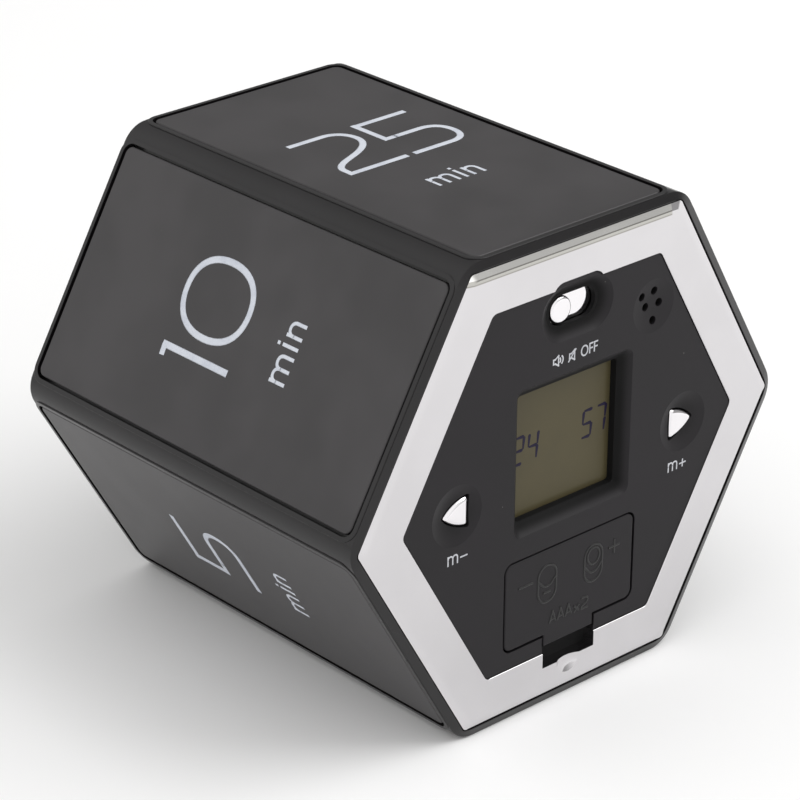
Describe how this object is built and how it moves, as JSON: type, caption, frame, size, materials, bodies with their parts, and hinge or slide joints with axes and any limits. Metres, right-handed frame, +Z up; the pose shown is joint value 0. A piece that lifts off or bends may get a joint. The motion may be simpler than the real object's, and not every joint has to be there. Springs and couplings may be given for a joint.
{
  "type": "kitchen timer",
  "caption": "Hexagonal flip timer: a black prism with a minute number on each side, and a bright-rimmed end with display, keys, slider and battery door.",
  "frame": {"origin": "middle of the object's footprint, on the surface it stands on with the 25 minute face up", "axes": "+Z up, -Y out of the control face, +X to the right as the control face is read"},
  "size_m": [0.0782, 0.068, 0.0693],
  "materials": {
    "housing_black": "fine satin moulded ABS",
    "panel_black": "matte printed plate",
    "face_black": "matte spark-eroded ABS",
    "bright_chrome": "bright plated ABS",
    "display_film": "grey-olive polarizer",
    "display_glass": "ground-edge glass",
    "reflector_film": "satin film",
    "inner_black": "moulded ABS",
    "white_tape": "double-sided tape",
    "zebra_rubber": "silicone with carbon layers",
    "spring_steel": "nickel-plated spring steel",
    "screw_steel": "zinc-plated steel",
    "nylon_white": "natural nylon",
    "board_green": "solder mask on glass epoxy",
    "epoxy_black": "cured epoxy drop",
    "buzzer_brass": "brass disc with ceramic",
    "chip_ceramic": "sintered ceramic with tinned ends",
    "cell_jacket": "printed foil jacket"
  },
  "bodies": {
    "timer_body": {"battery_case": "inner_black", "battery_cell_left": "cell_jacket", "battery_cell_right": "cell_jacket", "board_screws": "screw_steel", "buzzer_case": "inner_black", "buzzer_disc": "buzzer_brass", "capacitors": "chip_ceramic", "case_screws": "screw_steel", "chip_blob": "epoxy_black", "chrome_bezel": "bright_chrome", "contact_button": "spring_steel", "contact_spring": "spring_steel", "crystal": "spring_steel", "front_plate": "face_black", "front_screws": "screw_steel", "housing_shell": "housing_black", "lcd_cell": "display_glass", "lcd_holder": "inner_black", "lcd_polarizer": "display_film", "lcd_reflector": "reflector_film", "main_board": "board_green", "minus_switch": "inner_black", "mode_switch_body": "spring_steel", "negative_strip": "spring_steel", "panel_tape": "white_tape", "plus_switch": "inner_black", "positive_strip": "spring_steel", "rear_cover": "housing_black", "rear_screws": "screw_steel", "resistors": "chip_ceramic", "side_panel_10": "panel_black", "side_panel_25": "panel_black", "side_panel_30": "panel_black", "side_panel_45": "panel_black", "side_panel_5": "panel_black", "side_panel_60": "panel_black", "spring_plate": "spring_steel", "tilt_case": "nylon_white", "tilt_lid": "nylon_white", "zebra_strips": "zebra_rubber"},
    "minus_key": {"minus_key": "bright_chrome", "minus_plunger": "nylon_white"},
    "plus_key": {"plus_key": "bright_chrome", "plus_plunger": "nylon_white"},
    "mode_slider": {"mode_slider": "bright_chrome", "mode_switch_lever": "inner_black"},
    "battery_door": {"battery_door": "face_black", "door_contact": "spring_steel", "door_spring": "spring_steel"},
    "tilt_ball": {"tilt_ball": "spring_steel"}
  },
  "joints": [
    {"name": "minus_key_press", "type": "slide", "parent": "timer_body", "child": "minus_key", "axis": [0, 1, 0], "range_m": [0, 0.0005], "stiffness_N_per_m": 3000},
    {"name": "plus_key_press", "type": "slide", "parent": "timer_body", "child": "plus_key", "axis": [0, 1, 0], "range_m": [0, 0.0005], "stiffness_N_per_m": 3000},
    {"name": "mode_slide", "type": "slide", "parent": "timer_body", "child": "mode_slider", "axis": [1, 0, 0], "range_m": [0, 0.0039]},
    {"name": "battery_door_hinge", "type": "hinge", "parent": "timer_body", "child": "battery_door", "pos_m": [0, -0.03384, 0.02392], "axis": [-1, 0, 0], "range_deg": [0, 100]},
    {"name": "tilt_ball_roll", "type": "slide", "parent": "timer_body", "child": "tilt_ball", "axis": [0, 0, 1], "range_m": [0, 0.00276]}
  ]
}
